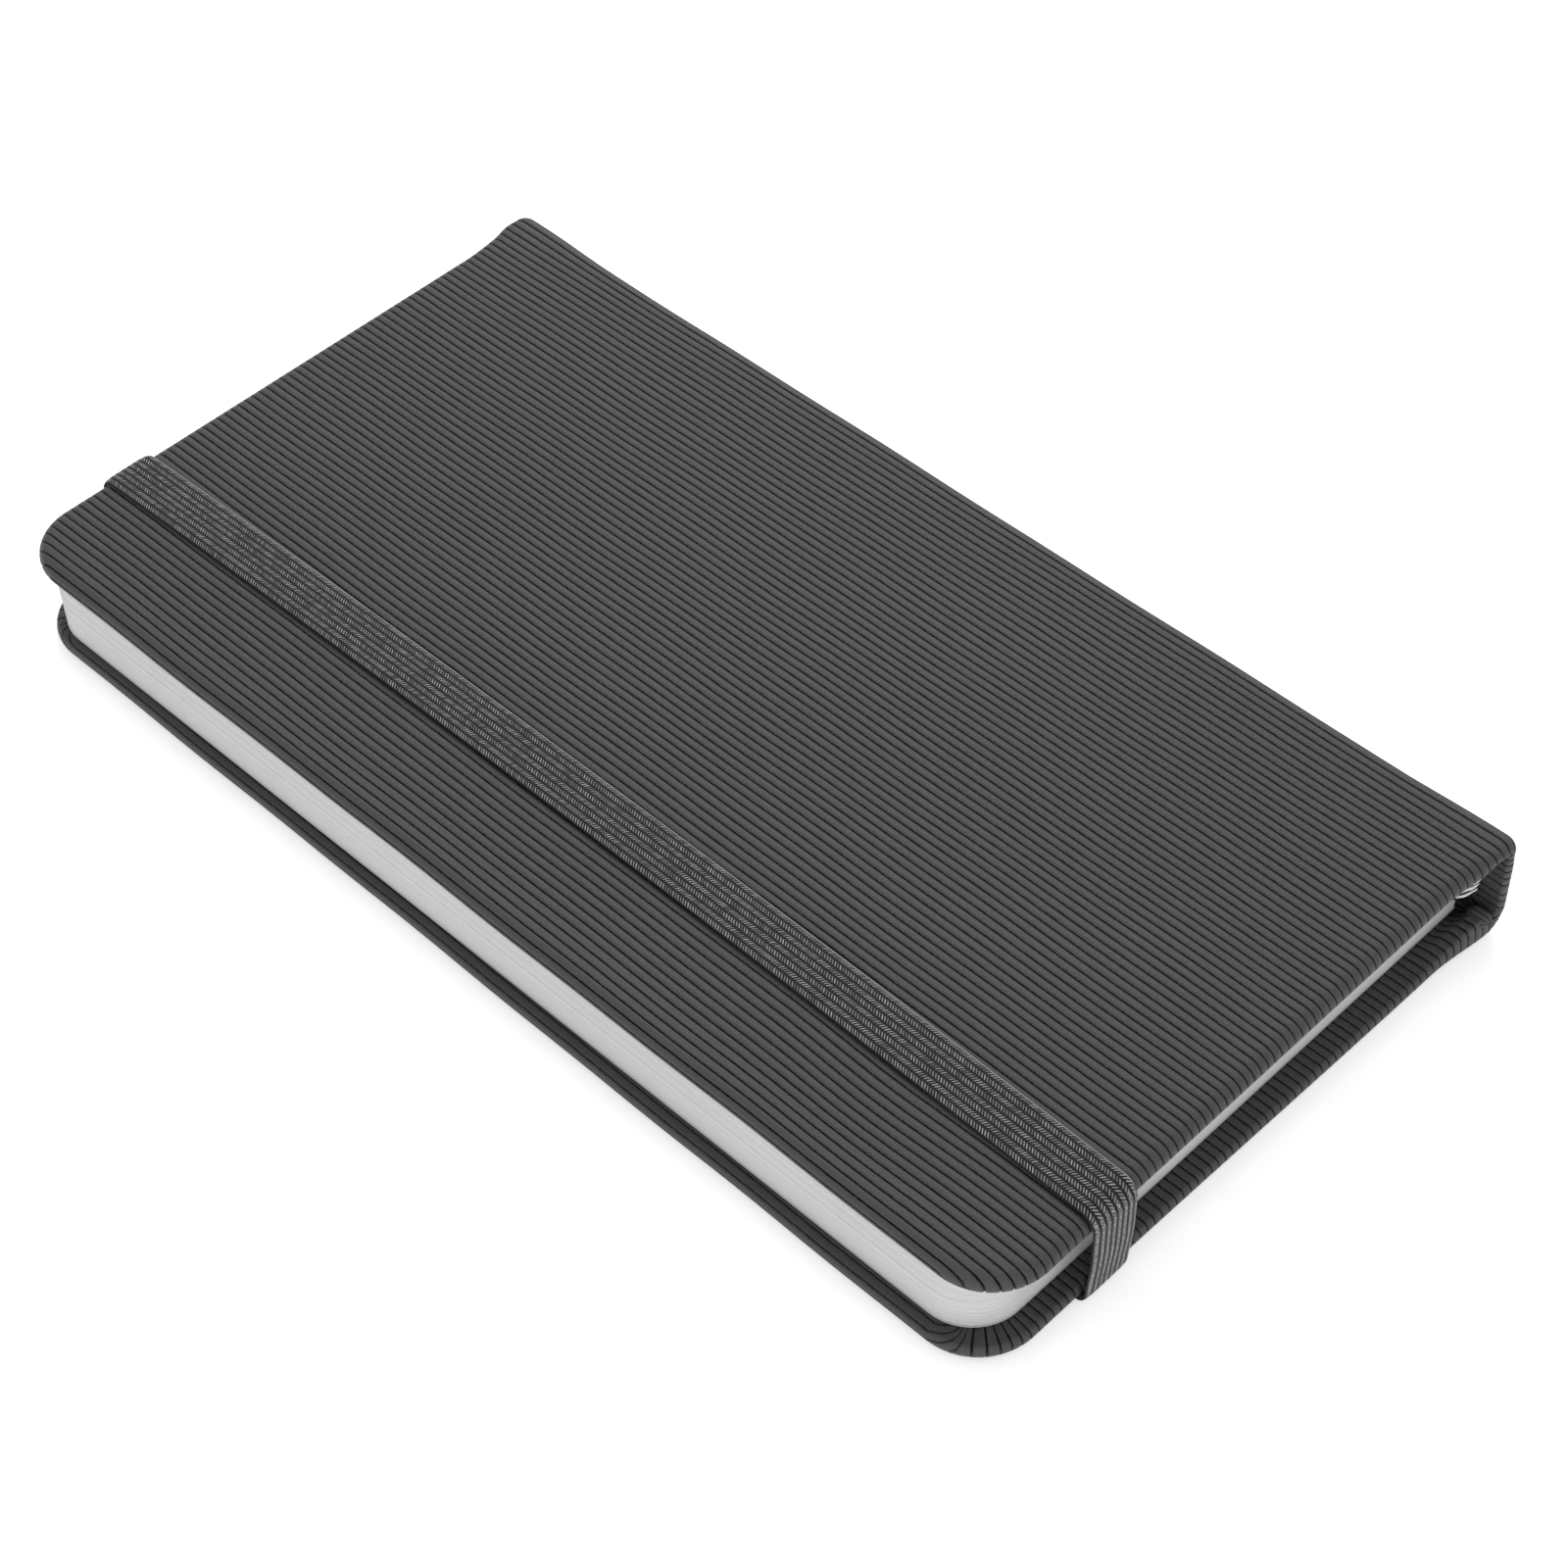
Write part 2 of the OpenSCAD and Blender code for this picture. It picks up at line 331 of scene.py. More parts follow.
def board_material():
    """Grey pulp board with flecks."""
    material, tree, principled = new_material("pulp_board", 0.9, Specular_IOR_Level=0.2)
    place = object_mm(tree)
    pulp = noise(tree, place, 1.6, 5.0, 0.7)
    flecks = remap(tree, noise(tree, place, 5.0, 1.0), 0.66, 0.72)
    shade = calc(tree, "MULTIPLY_ADD", flecks, -0.12, remap(tree, pulp, 0.3, 0.7, 0.24, 0.32))
    set_surface(tree, principled, mix_colour(tree, shade, 0.0, 1.0),
                calc(tree, "MULTIPLY", pulp, 0.05))
    return material


def twisted_material(name, tone):
    """Waxed sewing thread, with its twist as slanting bands."""
    material, tree, principled = new_material(name, 0.6)
    place = object_mm(tree)
    parts = add_node(tree, "ShaderNodeSeparateXYZ", {0: place}).outputs
    turn = calc(tree, "ADD", calc(tree, "MULTIPLY", parts[1], 14.0),
                calc(tree, "MULTIPLY", parts[0], 26.0))
    twist = calc(tree, "MULTIPLY_ADD", calc(tree, "SINE", turn), 0.5, 0.5)
    shade = calc(tree, "MULTIPLY_ADD", twist, 0.12 * tone, tone)
    set_surface(tree, principled, mix_colour(tree, shade, 0.0, 1.0),
                calc(tree, "MULTIPLY", twist, 0.03))
    return material


def gauze_material():
    """Open-weave mull in glue: a net of warp and weft."""
    material, tree, principled = new_material("mull_gauze", 0.8)
    parts = add_node(tree, "ShaderNodeSeparateXYZ", {0: object_mm(tree)}).outputs
    warp = remap(tree, calc(tree, "PINGPONG", parts[1], 0.4), 0.10, 0.18, 1.0, 0.0)
    weft = remap(tree, calc(tree, "PINGPONG", parts[2], 0.4), 0.10, 0.18, 1.0, 0.0)
    net = calc(tree, "MAXIMUM", warp, weft)
    shade = calc(tree, "MULTIPLY_ADD", net, 0.22, 0.42)
    set_surface(tree, principled, mix_colour(tree, shade, 0.0, 1.0),
                calc(tree, "MULTIPLY", net, 0.08))
    return material


def end_band_material():
    """Fibrous silk: each turn of thread is black or white."""
    material, tree, principled = new_material("striped_silk", 0.45, Specular_IOR_Level=0.4)
    tone = read_attribute(tree, "stripe")[0]
    fibres = noise(tree, object_mm(tree), 6.0, 3.0, 0.7)
    shade = calc(tree, "MULTIPLY_ADD", tone, 0.85, 0.008)
    shade = calc(tree, "MULTIPLY", shade, remap(tree, fibres, 0.3, 0.7, 0.65, 1.1))
    set_surface(tree, principled, mix_colour(tree, shade, 0.0, 1.0),
                calc(tree, "MULTIPLY", fibres, 0.06))
    return material


def elastic_material():
    """Covered elastic: slanting stitches of light and dark yarn in lengthwise lanes."""
    material, tree, principled = new_material("braided_elastic", 0.6, Specular_IOR_Level=0.3)
    across, along, leg, vector = read_attribute(tree, "braid")

    # The stitches slant the other way in every second lane.
    lane_at = calc(tree, "MULTIPLY_ADD", across, BAND_LANES / BAND_WIDTH, 0.5 * BAND_LANES)
    lane = calc(tree, "FLOOR", lane_at)
    side = calc(tree, "MULTIPLY_ADD", calc(tree, "MODULO", lane, 2.0), 2.0, -1.0)
    slant = calc(tree, "MULTIPLY", calc(tree, "MULTIPLY", across, side), 0.70)
    jitter = calc(tree, "SUBTRACT", noise(tree, vector, 3.0, 2.0), 0.5)
    slant = calc(tree, "MULTIPLY_ADD", jitter, 0.10, slant)
    row = calc(tree, "DIVIDE", calc(tree, "ADD", along, slant), STITCH_PITCH)
    yarn_at = combine(tree, calc(tree, "FLOOR", row), lane)
    yarn = add_node(tree, "ShaderNodeTexWhiteNoise", {"Vector": yarn_at},
                    noise_dimensions="2D").outputs["Value"]
    stitch = remap(tree, calc(tree, "PINGPONG", row, 0.5), 0.20, 0.38)
    valley = remap(tree, calc(tree, "PINGPONG", lane_at, 0.5), 0.10, 0.30)
    tone = calc(tree, "MULTIPLY_ADD", calc(tree, "MULTIPLY", stitch, valley),
                calc(tree, "MULTIPLY_ADD", yarn, 0.26, 0.14), 0.002)

    # A painted glint runs along the spine-side edge of the band.
    painted_glint = remap(tree, across, -0.485 * BAND_WIDTH, -0.465 * BAND_WIDTH, 0.38, 0.0)
    tone = calc(tree, "MAXIMUM", tone, painted_glint)

    # On the edges of the book the cords show as softer, paler lines with dark gaps between.
    cord = remap(tree, calc(tree, "PINGPONG", lane_at, 0.5), 0.12, 0.34)
    fuzz = noise(tree, vector, 4.0, 3.0, 0.75)
    fuzz = remap(tree, fuzz, 0.38, 0.62, 0.08, 0.46)
    soft = calc(tree, "MULTIPLY", calc(tree, "MULTIPLY", cord, fuzz),
                calc(tree, "MULTIPLY_ADD", stitch, 0.7, 0.45))
    shade = add_node(tree, "ShaderNodeMix", {0: leg, 2: tone, 3: soft},
                     data_type="FLOAT").outputs[0]
    height = calc(tree, "MULTIPLY", calc(tree, "MULTIPLY", stitch, valley), 0.07)
    height = calc(tree, "MULTIPLY_ADD", fuzz, 0.1, height)
    set_surface(tree, principled, mix_colour(tree, shade, 0.0, 1.0), height)
    return material


def floor_material():
    """Plain pale studio floor."""
    material, _, principled = new_material("studio_floor", 0.9, Specular_IOR_Level=0.0)
    principled.inputs["Base Color"].default_value = (0.90, 0.90, 0.90, 1)
    principled.inputs["Emission Color"].default_value = (1, 1, 1, 1)
    principled.inputs["Emission Strength"].default_value = 0.42
    return material


# ---------------------------------------------------------------- cover cloth

def rib_columns(start, end, extra):
    """Rib coordinates for the mesh's columns, with every groove's bottom and sides."""
    ribs = np.arange(math.floor(start), math.ceil(end) + 1) * RIB_PITCH
    columns = np.concatenate([ribs + offset for offset in RIB_SAMPLES] + [extra])
    columns = np.sort(columns[(columns > start + COLUMN_GAP) & (columns < end - COLUMN_GAP)])
    kept = [start]
    for column in columns:
        if column - kept[-1] > COLUMN_GAP:
            kept.append(column)
    return np.array(kept + [end])


def groove_depth(rib):
    """How far the embossing sinks at a rib coordinate."""
    distance = np.abs(rib - RIB_PITCH * np.round(rib / RIB_PITCH))
    return GROOVE_DEPTH * np.clip(1 - distance / GROOVE_HALF, 0, 1)


def edge_drop(distance, scale):
    """How far the outer side has sunk at a distance inside the outline."""
    inwards, down = OUTER_EDGE
    t = np.clip(1 - distance / (inwards * scale), 0, 1)
    return down * scale * (1 - np.sqrt(1 - t * t))


def edge_profile():
    """The outer rounding of an edge: plan distances, and the length of cloth over them."""
    inwards, down = OUTER_EDGE
    quarter = np.linspace(0, math.pi / 2, 200)
    plan = inwards * np.sin(quarter)
    sunk = down * (1 - np.cos(quarter))
    length = np.concatenate([[0], np.cumsum(np.hypot(np.diff(plan), np.diff(sunk)))])
    return plan, length


def case_section(rib, middle, top, spine_x, radius):
    """The case's outer line: its point (x, z) and normal at each rib coordinate."""
    centre_x, centre_z = spine_x + radius, top - radius
    turn = np.clip((centre_x - rib) / radius, 0, math.pi / 2)
    down = np.clip(centre_x - radius * math.pi / 2 - rib, 0, centre_z - middle)
    normal = np.stack([-np.sin(turn), np.cos(turn)], axis=1)
    x = np.maximum(rib, centre_x) + radius * normal[:, 0]
    z = centre_z + radius * normal[:, 1] - down
    return x, z, normal


def shape_spine(points):
    """Draws the spine in between head and tail, and lets its ends stand proud."""
    x, y, z = points[:, 0].copy(), np.abs(points[:, 1]), points[:, 2].copy()

    # Weights: near the spine, towards its two ends, on their caps and at the upper tips
    near = smoothstep(-x, 33.6, 37.0)
    flare = smoothstep(y, 56, 68)
    cap = smoothstep(-x, 27, 37) * smoothstep(y, 62, 70)
    tip = near * smoothstep(y, 68.6, 70.4) * smoothstep(z, 9.0, 13.0)
    points[:, 0] += (SPINE_WAIST * (1 - flare) - SPINE_FLARE * flare) * near + TIP_ROUND[0] * tip
    points[:, 1] += np.sign(points[:, 1]) * SPINE_CAP * cap
    points[:, 2] -= TIP_ROUND[1] * tip


def set_out(points):
    """The lower cover is a little askew: turned clockwise at its head fore-edge corner."""
    x, y = points[:, 0].copy(), points[:, 1].copy()
    points[:, 0] += LOWER_SKEW * smoothstep(y, -90, 90) * smoothstep(x, -30, 37)
    points[:, 1] -= 1.2 * LOWER_SKEW * smoothstep(y, -60, 66) * smoothstep(x, -34, 30)


def unevenness(x, y):
    """Sideways drift of the ribs: two slow waves all over the cover, and a stronger one
    near its head fore-edge corner."""
    drift = 0.045 * np.sin(0.11 * y + 0.33 * x) + 0.035 * np.sin(0.27 * y - 0.19 * x + 1.0)
    corner = np.exp(-((x - 28) / 7.0) ** 2) * smoothstep(y, 30, 48)
    return drift + 0.22 * np.sin(2 * math.pi * (y - 37) / 38) * corner


def cover_columns(upper):
    """The mesh's columns, from the middle of the spine to the fore-edge: their rib
    coordinates, places, normals and reach along Y, and their shares of board and spine."""
    fore_x, head_y, top = box_mm("front_cover_cloth")[1]
    spine_x = box_mm("spine_cloth")[0][0]
    middle = 0.5 * top
    corner_x, corner_y = fore_x - CORNER_R, head_y - CORNER_R
    bend_x = fore_x - OUTER_EDGE[0]
    plan, length = edge_profile()

    radius = SPINE_R if upper else SPINE_LOWER_R
    arc_end = spine_x + radius - radius * math.pi / 2
    first = arc_end - (top - radius - middle)
    round_corner = corner_x + CORNER_R * np.sin(np.radians(np.arange(4, 90, 4)))
    over = round_corner > bend_x
    round_corner[over] = bend_x + np.interp(round_corner[over] - bend_x, plan, length)
    round_spine = spine_x + radius * (1 - np.linspace(0, math.pi / 2, 9))
    extra = np.concatenate([round_corner, round_spine])
    rib = rib_columns(first, bend_x + length[-1], extra)
    x, z, normal = case_section(rib, middle, top, spine_x, radius)
    over = rib > bend_x
    x[over] = bend_x + np.interp(rib[over] - bend_x, length, plan)

    board = smoothstep(rib, *BOARD_START)
    spine = smoothstep(-rib, -arc_end - 0.5, -arc_end + 0.5)
    joint_t = JOINT_T if upper else COVER_T
    thick = joint_t + (COVER_T - joint_t) * board + (SPINE_T - joint_t) * spine
    sine = np.clip((x - corner_x) / CORNER_R, 0, 1)
    reach = np.where(x > corner_x, corner_y + CORNER_R * np.sqrt(1 - sine * sine), head_y)
    # Near the spine, the edge's rounding is marked for a painted highlight.
    painted_spine_highlight = smoothstep(-rib, 34.5, 36.6) * smoothstep(rib, arc_end - 0.8, arc_end + 0.6)
    return SimpleNamespace(rib=rib, x=x, z=z, normal=normal, board=board, spine=spine,
                           scale=thick / COVER_T, sine=sine, reach=reach, painted_spine_highlight=painted_spine_highlight)


def edge_distance(columns, y):
    """How far each point of the grid lies inside the cover's outline."""
    fore_x, head_y = box_mm("front_cover_cloth")[1][:2]
    corner_x, corner_y = fore_x - CORNER_R, head_y - CORNER_R
    from_fore = np.where(columns.rib > 0, fore_x - columns.x, FAR)
    inside = np.minimum(head_y - np.abs(y), from_fore[:, None])
    beyond_x = np.broadcast_to((columns.x - corner_x)[:, None], y.shape)
    beyond_y = np.abs(y) - corner_y
    cornered = (beyond_x > 0) & (beyond_y > 0)
    inside = np.where(cornered, CORNER_R - np.hypot(beyond_x, beyond_y), inside)
    return np.maximum(inside, 0)


def band_channel(x, y):
    """Depth of the channel that takes the elastic under the lower cover, from the edge
    to its slot."""
    low, high = box_mm("elastic_band")
    band_x = 0.5 * (low[0] + high[0])
    across = smoothstep(-np.abs(x - band_x), -3.6, -3.2)[:, None]
    return CHANNEL_DEPTH * across * smoothstep(np.abs(y), 61.9, 62.4)


def cover_surface(columns, upper):
    """The outer side as a grid of points, with their marks for the material:
    rib coordinate, place along the rib, and worn edges with a painted highlight by the spine."""
    # Rows lie close together where the edges round over.
    ends = np.array((0, 0.015, 0.05, 0.11, 0.2, 0.34, 0.54, 0.8, 1.1, 1.45, 1.9))
    spread = 1.25
    inner = np.sin(np.linspace(-spread, spread, 41)) / math.sin(spread)
    tail = -columns.reach[:, None] + ends[None, :]
    between = (columns.reach[:, None] - ends[-1]) * inner[None, 1:-1]
    y = np.concatenate([tail, between, -tail[:, ::-1]], axis=1)
    inside = edge_distance(columns, y)
    drop = edge_drop(inside, columns.scale[:, None])
    if not upper:
        drop = np.maximum(drop, band_channel(columns.x, y))
    surface = np.zeros(y.shape + (3,))
    surface[..., 0] = columns.x[:, None] - columns.normal[:, :1] * drop
    surface[..., 1] = y
    surface[..., 2] = columns.z[:, None] - columns.normal[:, 1:] * drop
    # Paler worn edges, and a painted highlight on the rounding by the spine.
    wear_and_sheen = np.maximum(1 - smoothstep(inside, 0.2, 1.5), columns.painted_spine_highlight[:, None])
    marks = np.stack([np.repeat(columns.rib, y.shape[1]), y.ravel(), wear_and_sheen.ravel()], axis=1)
    return surface, marks


def turn_in_edge(columns, surface, marks, upper):
    """Rounds the inner side of the edge and turns the material in, ring by ring.
    Gives the points, marks and faces of the whole sheet, and the loop of its free edge."""
    columns_n, rows_n = surface.shape[:2]
    index = np.arange(columns_n * rows_n).reshape(columns_n, rows_n)

    # The outline runs tail to head round the fore-edge, with its outward direction.
    outline = np.concatenate([index[:, 0], index[-1, 1:-1], index[::-1, -1]])
    column = np.concatenate([np.arange(columns_n), np.full(rows_n - 2, columns_n - 1),
                             np.arange(columns_n)[::-1]])
    side = np.concatenate([-np.ones(columns_n), np.zeros(rows_n - 2), np.ones(columns_n)])
    out_x = columns.sine[column]
    out_y = side * np.sqrt(1 - out_x ** 2)
    flat = np.zeros(len(column))
    outward = np.stack([out_x, out_y, flat], axis=1)
    up = np.stack([columns.normal[column, 0], flat, columns.normal[column, 1]], axis=1)
    base, size = surface.reshape(-1, 3)[outline], columns.scale[column]

    # The turn-in is wider on the spine, pleated at the corners, and in the lower
    # joint bunched at the head and thinned under the leaves.
    rib, spine = columns.rib[column], columns.spine[column]
    wider = 1 + 1.5 * spine
    fill = JOINT_FILL * smoothstep(-rib, 25.0, 36.0) * (1 - spine)
    fill = fill * (side > 0) * (not upper)
    hollow = (COVER_T - JOINT_T) * (1 - columns.board[column]) * (1 - spine) * (not upper)
    waves = np.clip(np.sin(PLEATS * np.arcsin(out_x)), 0, 1) ** 2
    pleat = PLEAT_DEPTH * waves * (2 * out_x * np.abs(out_y)) ** 2
    ribs_follow = smoothstep(out_x, math.sin(math.radians(52)), math.sin(math.radians(80)))

    # Each step: shares of the inner rounding's width and depth, then millimetres inwards
    steps = [(1 - math.cos(a), math.sin(a), 0.0) for a in np.linspace(0, math.pi / 2, 8)[1:]]
    inwards = (0.2, 0.45, 0.7, 1.0, 1.3, 1.6, 1.9, 2.3, 2.8, 3.5, 4.4, TURN_IN)
    steps += [(1.0, 1.0, inward) for inward in inwards]
    points, marks, faces = [surface.reshape(-1, 3)], [marks], grid_faces(index)
    previous, last, travelled = outline, base, np.zeros(len(outline))
    starts, count = [], columns_n * rows_n
    for back_in, drop_down, inward in steps:
        width = inward * wider
        shift = -INNER_EDGE[0] * back_in * size - width * np.minimum(1, size)
        sink = INNER_EDGE[1] * drop_down * size
        sink = sink - pleat * min(inward, 1.5) / 1.5
        sink = sink + fill * drop_down * (1 - smoothstep(width, 0.9, 2.3))
        sink = sink - hollow * smoothstep(width, 2.0, 3.4)
        ring = base + outward * shift[:, None] - up * sink[:, None]
        travelled = travelled + np.linalg.norm(ring - last, axis=1)
        last = ring
        ring_index = np.arange(count, count + len(outline))
        faces += grid_faces(np.stack([previous, ring_index]))
        worn = np.full(len(outline), 1.0 - 0.5 * drop_down if inward < 0.3 else 0.0)
        marks.append(np.stack([rib + travelled * out_x * ribs_follow,
                               base[:, 1] + travelled * out_y, worn], axis=1))
        points.append(ring)
        starts.append(count)
        previous, count = ring_index, count + len(outline)
    starts = np.array(starts)
    ends = starts + len(outline) - 1
    loop = np.concatenate([index[0, ::-1], starts, previous[1:-1], ends[::-1]])
    return np.concatenate(points), np.concatenate(marks), faces, loop


def cover_cloth(name, upper, material):
    """One cover's material with half the spine, turned in over the board's edges.
    The lower one is a mirror image, with a softer rounding at the spine and a
    head fore-edge corner out of square."""
    columns = cover_columns(upper)
    surface, marks = cover_surface(columns, upper)
    columns_n, rows_n = surface.shape[:2]
    points, marks, faces, loop = turn_in_edge(columns, surface, marks, upper)

    normals = surface_normals(points, faces)
    middle_of_cover = (columns_n // 2) * rows_n + rows_n // 2
    if normals[middle_of_cover, 2] < 0:
        faces = [face[::-1] for face in faces]
        normals = -normals

    # Emboss the outer side, and give the inner side a plain offset
    outer = points - normals * groove_depth(marks[:, 0])[:, None]
    inner = points - normals * CLOTH_T
    for layer in (outer, inner):
        layer[:, 0] += unevenness(points[:, 0], points[:, 1])
        shape_spine(layer)
        if not upper:
            set_out(layer)

    # Close the shell: the inner side faces the other way, and a rim joins them
    total = len(points)
    pairs = zip(loop.tolist(), np.roll(loop, -1).tolist())
    rim = [[b, a, a + total, b + total] for a, b in pairs]
    back = [[v + total for v in face[::-1]] for face in faces]
    all_points = np.concatenate([outer, inner])
    all_faces = faces + back + rim
    if not upper:
        top = box_mm("front_cover_cloth")[1][2]
        all_points[:, 2] = top - all_points[:, 2]
        all_faces = [face[::-1] for face in all_faces]

    piece = new_piece(name, all_points, all_faces, material)
    add_attribute(piece, "rib", np.concatenate([marks, marks]))
    return piece


# ---------------------------------------------------------------- boards

def cover_board(name, node, upper, material):
    """A cover's board, with its outer edges sanded to the rounding the cloth follows."""
    low, high = box_mm(node)
    outer_r = CORNER_R - (box_mm("front_cover_cloth")[1][0] - high[0])
    centre_x, centre_y = high[0] - outer_r, high[1] - outer_r

    # Each ring: how far it lies inside the outline, and how far down from the outer side
    inwards, down = BOARD_EDGE
    rings = [(inwards * (1 - math.sin(q)), down * (1 - math.cos(q)))
             for q in np.linspace(0, math.pi / 2, 8)]
    rings += [(0.05, 1.15), (0.25, high[2] - low[2])]
    arc = np.radians(np.linspace(0, 90, 13))
    points = []
    for inset, sunk in rings:
        radius = outer_r - inset
        x = centre_x + radius * np.sin(arc)
        y = centre_y + radius * np.cos(arc)
        ring_x = np.concatenate([[low[0]], x, x[::-1], [low[0]]])
        ring_y = np.concatenate([[high[1] - inset], y, -y[::-1], [-(high[1] - inset)]])
        z = high[2] - sunk if upper else low[2] + sunk
        points.append(np.stack([ring_x, ring_y, np.full(len(ring_x), z)], axis=1))
    count = len(points[0])
    index = np.arange(len(rings) * count).reshape(len(rings), count)
    faces = grid_faces(np.concatenate([index, index[:, :1]], axis=1))
    faces += [index[0, ::-1].tolist(), index[-1].tolist()]
    points = np.concatenate(points)
    if upper:
        faces = [face[::-1] for face in faces]
    else:
        set_out(points)
    return new_piece(name, points, faces, material, sharp=math.radians(35))


def spine_board(name, node, material):
    """The spine's stiffener: it follows the waist of the cover material, with pared ends."""
    low, high = box_mm(node)
    stations = np.sin(np.linspace(-math.pi / 2, math.pi / 2, 41)) * high[1]
    corner = 0.25
    section = np.array([(low[0] + 3 * corner, low[2]),
                        (low[0] + corner, low[2] + 1.4 * corner),
                        (low[0], low[2] + 4.5 * corner),
                        (low[0], high[2] - corner),
                        (low[0] + corner, high[2]),
                        (high[0], high[2]),
                        (high[0], low[2])])
    points = np.zeros((len(stations), len(section), 3))
    points[..., 0] = section[None, :, 0]
    points[..., 1] = stations[:, None]
    points[..., 2] = section[None, :, 1]
    flat = points.reshape(-1, 3)
    drawn_in = SPINE_WAIST * (1 - smoothstep(np.abs(flat[:, 1]), 56, 69))
    flat[:, 0] += drawn_in * (flat[:, 0] < low[0] + 2 * corner)
    pared = 0.6 * smoothstep(np.abs(flat[:, 1]), 52, 56)
    flat[:, 0] -= pared * (flat[:, 0] > low[0] + 4 * corner)
    index = np.arange(len(flat)).reshape(len(stations), len(section))
    faces = grid_faces(np.concatenate([index, index[:, :1]], axis=1))
    faces += [index[0, ::-1].tolist(), index[-1].tolist()]
    return new_piece(name, flat, faces, material, sharp=math.radians(35))


# ---------------------------------------------------------------- page block

def folded_sheet(x, z, half_y, normal, middle_y, leaf_t, start):
    """One folded sheet along the line (x, z), reaching half_y to both sides of middle_y:
    its points, and its faces numbered from start on."""
    half = 0.5 * LEAF_FULLNESS * leaf_t
    corners = []
    for side, lift in ((-1, half), (1, half), (1, -half), (-1, -half)):
        corners.append(np.stack([x + normal[:, 0] * lift, middle_y + side * half_y,
                                 z + normal[:, 1] * lift], axis=1))
    block = np.stack(corners, axis=1)
    index = start + np.arange(len(block) * len(corners)).reshape(-1, len(corners))
    faces = grid_faces(np.concatenate([index, index[:, :1]], axis=1))
    faces += [index[0, ::-1].tolist(), index[-1].tolist()]
    return block.reshape(-1, 3), faces


def leaf_section(name, node, material, rng):
    """A section of nested folded sheets, with its fold at the spine."""
    low, high = box_mm(node)
    head_y, middle_y = 0.5 * (high[1] - low[1]), 0.5 * (low[1] + high[1])
    thickness, middle_z = high[2] - low[2], 0.5 * (low[2] + high[2])
    leaf_t = thickness / LEAVES
    fold_x = low[0] + 0.5 * thickness
    corner = np.radians(np.linspace(90, 0, CORNER_POINTS))
    reach_x = high[0] - LEAF_CORNER_R + LEAF_CORNER_R * np.sin(corner)
    reach_y = head_y - LEAF_CORNER_R + LEAF_CORNER_R * np.cos(corner)
    fold = np.radians(np.linspace(0, 180, FOLD_POINTS))
    normal = np.concatenate([np.tile((0.0, 1.0), (CORNER_POINTS, 1)),
                             np.stack([-np.sin(fold), np.cos(fold)], axis=1),
                             np.tile((0.0, -1.0), (CORNER_POINTS, 1))])
    points, faces, count = [], [], 0
    for sheet in range(LEAVES // 2):
        radius = 0.5 * thickness - (sheet + 0.5) * leaf_t
        level = np.full(CORNER_POINTS, radius)
        upper_x, upper_y = rng.uniform(-LEAF_TRIM, 0.0, 2)
        lower_x, lower_y = rng.uniform(-LEAF_TRIM, 0.0, 2)
        x = np.concatenate([reach_x + upper_x, fold_x - radius * np.sin(fold),
                            reach_x[::-1] + lower_x])
        z = middle_z + np.concatenate([level, radius * np.cos(fold), -level])
        half_y = np.concatenate([reach_y + upper_y,
                                 np.full(FOLD_POINTS, head_y + 0.5 * (upper_y + lower_y)),
                                 reach_y[::-1] + lower_y])
        sheet_points, sheet_faces = folded_sheet(x, z, half_y, normal, middle_y, leaf_t, count)
        points.append(sheet_points)
        faces += sheet_faces
        count += len(sheet_points)
    return new_piece(name, np.concatenate(points), faces, material,
                     sharp=math.radians(40))


# ---------------------------------------------------------------- end bands

def thread_loop(centre, side, rng):
    """One turn of silk round the band's core: a closed tube's rings of points.
    Every turn differs a little in width, depth and height."""
    half_x, half_y = SILK_HALF
    turn = np.linspace(0, 2 * math.pi, 26, endpoint=False)
    wave = rng.uniform(-1, 1, 5)
    x = half_x * (1 + 0.10 * wave[0]) * np.cos(turn)
    wobble = 0.12 * wave[1] + 0.08 * np.sin(3 * turn + 3 * wave[3])
    y = half_y * (1 + wobble) * np.sin(turn)
    y -= side * SILK_LEAN * 0.5 * np.cos(turn)
    rise, slant = 0.42, 0.30
    z = rise * np.sin(turn) - slant * np.cos(turn) + 0.07 * wave[2]
    z += 0.05 * np.sin(4 * turn + 3 * wave[4])
    line = np.stack([x, y, z], axis=1)
    tangent = np.roll(line, -1, axis=0) - np.roll(line, 1, axis=0)
    tangent /= np.linalg.norm(tangent, axis=1)[:, None]
    outward = np.stack([np.cos(turn), np.sin(turn), np.zeros(len(turn))], axis=1)
    outward -= tangent * np.sum(outward * tangent, axis=1)[:, None]
    outward /= np.linalg.norm(outward, axis=1)[:, None]
    binormal = np.cross(tangent, outward)
    around = np.linspace(0, 2 * math.pi, 7, endpoint=False)
    tube = line[:, None, :] + SILK_R * (outward[:, None, :] * np.cos(around)[None, :, None]
                                        + binormal[:, None, :] * np.sin(around)[None, :, None])
    return tube + np.array(centre)


